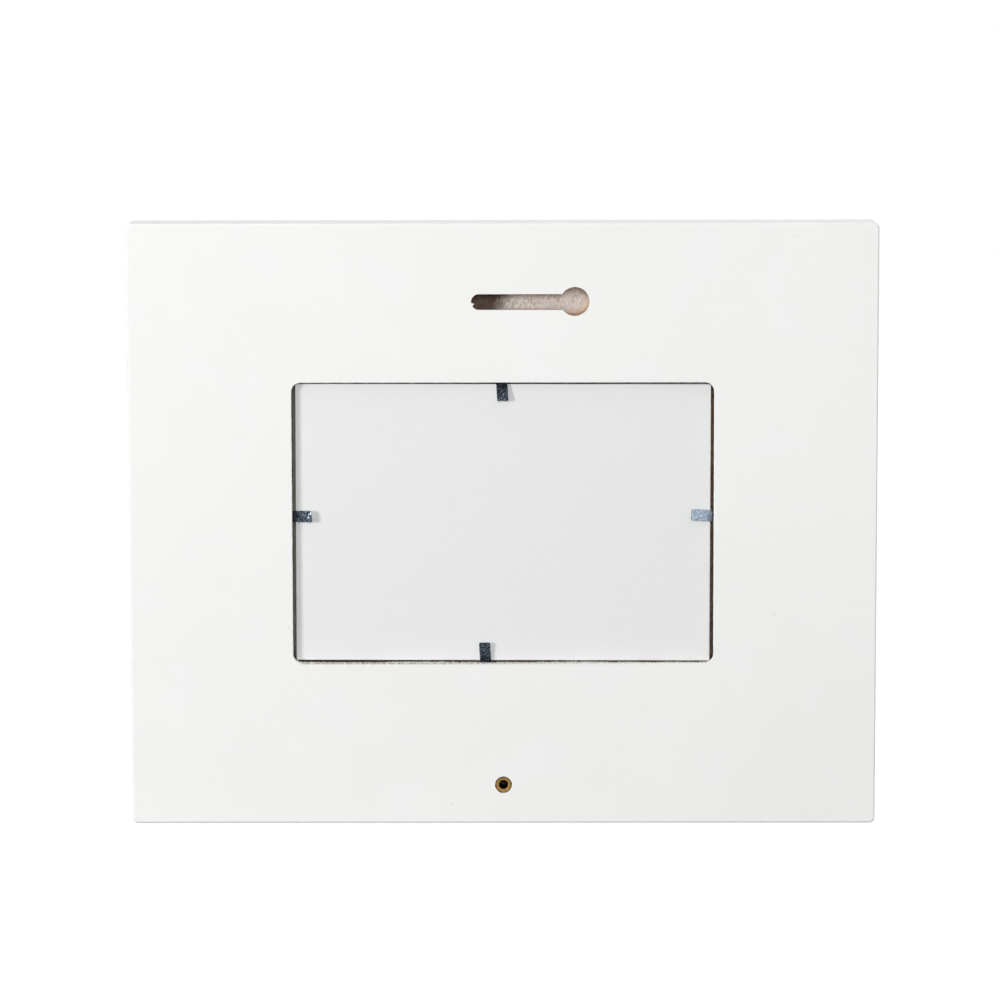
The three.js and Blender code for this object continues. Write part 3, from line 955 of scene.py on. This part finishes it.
def spangled_zinc():
    """Zinc plate: crystals that each lean their own way, dull pale flecks, and painted shade beside the wall.
    """
    material = bpy.data.materials.new("spangled_zinc")
    shader = Shader(material)
    sheet = shader.add("ShaderNodeTexCoord", {}, "UV")
    crystals = shader.add("ShaderNodeTexVoronoi", {"Vector": sheet, "Scale": 2.0}, "Color")
    flecks = shader.ramp(shader.noise(sheet, scale=1.5, detail=2), 0.5, 0.6)
    # Painted shade: each strip darkens towards the wall it is driven into
    painted_root_shade = shader.ramp(shader.axis(sheet, "Y"), -2.4, 0.2, 0.0, 0.75)
    lengthwise = shader.add("ShaderNodeMapping", {"Vector": sheet, "Scale": (6, 0.5, 1)})
    scuffs = shader.noise(lengthwise, scale=2)
    tone = shader.mix(flecks, colour(0.16, 0.195, 0.24), colour(0.34, 0.42, 0.52))
    tone = shader.mix(painted_root_shade, tone, colour(0.03, 0.03, 0.032))
    flat = shader.add("ShaderNodeNewGeometry", {}, "Normal")
    upright = (0.5, 0.5, 0.5)
    steepest = (0.15, 0.15, 0.15)
    lean = shader.vector("MULTIPLY", shader.vector("SUBTRACT", crystals, upright), steepest)
    facets = shader.vector("NORMALIZE", shader.vector("ADD", flat, lean))
    shader.finish(shader.add(
        "ShaderNodeBsdfPrincipled",
        {
            "Base Color": tone,
            "Metallic": shader.ramp(flecks, 0.0, 1.0, 1.0, 0.72),
            "Roughness": shader.ramp(flecks, 0.0, 1.0, 0.14, 0.22),
            "Normal": shader.bump(scuffs, 0.01, facets),
        },
    ))
    return material


def clear_glass():
    """Float glass, which lets light straight through to the print behind it."""
    material = bpy.data.materials.new("float_glass")
    shader = Shader(material)
    film = shader.noise(shader.place(), scale=60)
    glass = shader.add(
        "ShaderNodeBsdfPrincipled",
        {
            "Base Color": colour(0.97, 0.985, 0.977),
            "Roughness": shader.ramp(film, 0.35, 0.7, 0.0, 0.03),
            "IOR": 1.5,
            "Transmission Weight": 1.0,
        },
    )
    straight = shader.add("ShaderNodeBsdfTransparent", {"Color": colour(0.955, 0.97, 0.963)})
    shadow = shader.add("ShaderNodeLightPath", {}, "Is Shadow Ray")
    shader.finish(shader.add("ShaderNodeMixShader", {0: shadow, 1: glass, 2: straight}))
    return material


def blank_print():
    """Print paper with a white margin round an even grey field."""
    material = bpy.data.materials.new("blank_print")
    shader = Shader(material)
    here = shader.place()
    from_centre = shader.vector("SUBTRACT", here, PANE_CENTRE * MM)
    edges = []
    for axis, size in (("X", PANE_SIZE.x), ("Z", PANE_SIZE.z)):
        offset = shader.maths("ABSOLUTE", shader.axis(from_centre, axis))
        edges.append(shader.maths("SUBTRACT", offset, (size / 2 - PRINT_MARGIN) * MM))
    outside = shader.maths("GREATER_THAN", shader.maths("MAXIMUM", *edges), 0.0)
    grain = shader.noise(here, scale=1400)
    field = shader.mix(grain, colour(0.36, 0.37, 0.38), colour(0.42, 0.43, 0.44))
    tone = shader.mix(outside, field, colour(0.72, 0.72, 0.705))
    normal = shader.bump(grain, 0.01)
    shader.finish(shader.add(
        "ShaderNodeBsdfPrincipled", {"Base Color": tone, "Roughness": 0.3, "Normal": normal}
    ))
    return material


def dress(node, material):
    """A CAD node keeps its shape and takes a better material."""
    mesh = frame["nodes"][node].data
    mesh.materials.clear()
    mesh.materials.append(material)


# Stage

# The floor, and the ranges over which it changes to both sides of the frame and towards the camera
FLOOR_GAP = 0.05
FLOOR_LEVEL = BOARD_LOW.z - FLOOR_GAP
FLOOR_REACH = 15000
FLOOR_NEAR_ACROSS = (130, 200)
FLOOR_NEAR_ALONG = (30, 120)
FLOOR_PAST_FRAME = (-50, 100)
FLOOR_DARKENING = (100, 280)

# How bright the studio looks in metal and glass, where 1 is white, and how much light its backdrop gives
STUDIO_FLOOR = 0.16
STUDIO_FAR_FLOOR = 0.008
STUDIO_DARK = 0.02
STUDIO_DIM = 0.12
STUDIO_CEILING = 0.5
BACKDROP_LIGHT = 0.68

# The ways from the frame to the front lamp and to the camera
FRONT_LAMP_WAY = (-0.7, -0.7, 0.23)
CAMERA_SIDE = Vector((0, math.cos(CAMERA_ELEVATION), math.sin(CAMERA_ELEVATION)))


def background_rays(shader):
    """1 for the camera's rays, and 1 for those off metal and through glass, which meet the background too."""
    camera = shader.add("ShaderNodeLightPath", {}, "Is Camera Ray")
    glossy = shader.add("ShaderNodeLightPath", {}, "Is Glossy Ray")
    transmitted = shader.add("ShaderNodeLightPath", {}, "Is Transmission Ray")
    return camera, shader.maths("MAXIMUM", glossy, transmitted)


def floor_material():
    """White to the camera, dimmer close to the frame so that its shadow shows, and dark in metal."""
    material = bpy.data.materials.new("studio_floor")
    shader = Shader(material)
    here = shader.place()
    forward = shader.axis(here, "Y")
    sideways = shader.maths("ABSOLUTE", shader.axis(here, "X"))
    near_across = shader.ramp(sideways, *metres(FLOOR_NEAR_ACROSS), 1.0, 0.0)
    near_along = shader.ramp(shader.maths("ABSOLUTE", forward), *metres(FLOOR_NEAR_ALONG), 1.0, 0.0)
    near = shader.maths("MULTIPLY", near_across, near_along)
    glow = shader.ramp(near, 0.0, 1.0, 0.98, 0.9)
    patches = shader.ramp(shader.noise(here, scale=25, detail=2), 0.4, 0.6, 0.3, 1.5)
    darkening = shader.ramp(forward, *metres(FLOOR_DARKENING), STUDIO_FLOOR, STUDIO_FAR_FLOOR)
    studio = shader.maths("MULTIPLY", patches, darkening)
    mirrored = shader.mix_numbers(shader.ramp(forward, *metres(FLOOR_PAST_FRAME)), 1.0, studio)
    camera, gloss = background_rays(shader)
    strength = shader.maths(
        "ADD", shader.maths("MULTIPLY", glow, camera), shader.maths("MULTIPLY", mirrored, gloss)
    )
    grey = shader.mix(near, colour(0.06, 0.06, 0.06), colour(0.12, 0.12, 0.12))
    matt = shader.add("ShaderNodeBsdfDiffuse", {"Color": grey})
    light = shader.add("ShaderNodeEmission", {"Color": colour(1, 1, 1), "Strength": strength})
    shader.finish(shader.add("ShaderNodeAddShader", {0: matt, 1: light}))
    return material


def studio_floor():
    half = FLOOR_REACH * MM
    mesh = bpy.data.meshes.new("studio_floor")
    corners = [(-half, -half, 0), (half, -half, 0), (half, half, 0), (-half, half, 0)]
    mesh.from_pydata(corners, [], [(0, 1, 2, 3)])
    mesh.materials.append(floor_material())
    floor = bpy.data.objects.new("studio_floor", mesh)
    floor.location.z = FLOOR_LEVEL * MM
    bpy.context.scene.collection.objects.link(floor)


def studio_world():
    """A white background behind the frame, and on the camera's side a studio, dim below and lighter above."""
    world = bpy.data.worlds.new("studio")
    bpy.context.scene.world = world
    shader = Shader(world)
    ray = shader.add("ShaderNodeTexCoord", {}, "Generated")
    camera, gloss = background_rays(shader)
    clutter = shader.ramp(shader.noise(ray, scale=6, detail=2), 0.42, 0.58, STUDIO_DARK, STUDIO_DIM)
    ceiling = shader.ramp(shader.axis(ray, "Z"), 0.2, 0.75, 0.0, STUDIO_CEILING)
    studio = shader.maths("ADD", clutter, ceiling)
    backdrop = shader.ramp(gloss, 0.0, 1.0, BACKDROP_LIGHT, 1.0)
    in_front = shader.ramp(shader.axis(ray, "Y"), -0.1, 0.35)
    room = shader.mix_numbers(in_front, backdrop, studio)
    strength = shader.maths("MAXIMUM", room, camera)
    light = shader.add("ShaderNodeBackground", {"Color": colour(1, 1, 1), "Strength": strength})
    shader.add_output("ShaderNodeOutputWorld", light)


def direction(azimuth, elevation):
    """The way to a lamp on the wall side, by degrees from +Y towards +X and then up."""
    turn = math.radians(azimuth)
    rise = math.radians(elevation)
    return math.sin(turn) * math.cos(rise), math.cos(turn) * math.cos(rise), math.sin(rise)


def soft_box(name, way, distance, size, power, on_matt=True, in_metal=True):
    """A square lamp that faces the frame's middle, to light matt surfaces, show in metal or both."""
    lamp = bpy.data.lights.new(name, "AREA")
    lamp.size = size
    lamp.energy = power
    holder = bpy.data.objects.new(name, lamp)
    towards = Vector(way).normalized()
    holder.location = BOARD_CENTRE * MM + towards * distance
    holder.rotation_euler = towards.to_track_quat("Z", "Y").to_euler()
    holder.visible_camera = False
    holder.visible_diffuse = on_matt
    holder.visible_glossy = in_metal
    bpy.context.scene.collection.objects.link(holder)


def studio_lights():
    soft_box("key", direction(50, 8), distance=1.5, size=0.33, power=11.9)
    soft_box("fill", direction(-3, 15), distance=1.2, size=0.28, power=7.35, in_metal=False)
    soft_box("bright_card", direction(-34, -3), distance=0.37, size=0.25, power=0.35, on_matt=False)
    soft_box("dim_card", direction(45, -3), distance=0.4, size=0.14, power=0.02, on_matt=False)
    soft_box("front", FRONT_LAMP_WAY, distance=1.7, size=1.2, power=26, in_metal=False)


def photo_camera():
    lens = bpy.data.cameras.new("photo_camera")
    lens.lens = CAMERA_LENS
    camera = bpy.data.objects.new("photo_camera", lens)
    face_centre = Vector((BOARD_CENTRE.x, 0, BOARD_CENTRE.z))
    place = face_centre + CAMERA_DISTANCE * CAMERA_SIDE + Vector((CAMERA_SIDE_STEP, 0, 0))
    look = face_centre + CAMERA_AIM - place
    turn = look.to_track_quat("-Z", "Y").to_matrix() @ Matrix.Rotation(CAMERA_ROLL, 3, "Z")
    camera.location = place * MM
    camera.rotation_euler = turn.to_euler()
    bpy.context.scene.collection.objects.link(camera)
    bpy.context.scene.camera = camera


def build():
    noise.seed_set(CUT_WANDER_SEED)
    zinc = spangled_zinc()
    painted_board([white_lacquer(), raw_fibreboard(), routed_fibreboard()])
    backing_panel([
        card("white_card", dark=(0.775, 0.784, 0.78), light=(0.795, 0.805, 0.8), fibre_scale=900),
        card("card_core", dark=(0.5, 0.46, 0.41), light=(0.66, 0.62, 0.56), fibre_scale=1500),
    ])
    knurled_insert([
        brass("tarnished_brass", bright=(0.92, 0.56, 0.2), stained=(0.5, 0.285, 0.095)),
        # The thread is near-black brass: painted shade for the deep bore
        brass("thread_painted_shade", bright=(0.02, 0.013, 0.007), stained=(0.008, 0.005, 0.003)),
    ])
    for side in POINTS:
        steel_point(side, zinc)
    dress("glazing", clear_glass())
    dress("photo_insert", blank_print())


build()
studio_floor()
studio_world()
studio_lights()
photo_camera()
bpy.context.scene.view_settings.view_transform = "Standard"
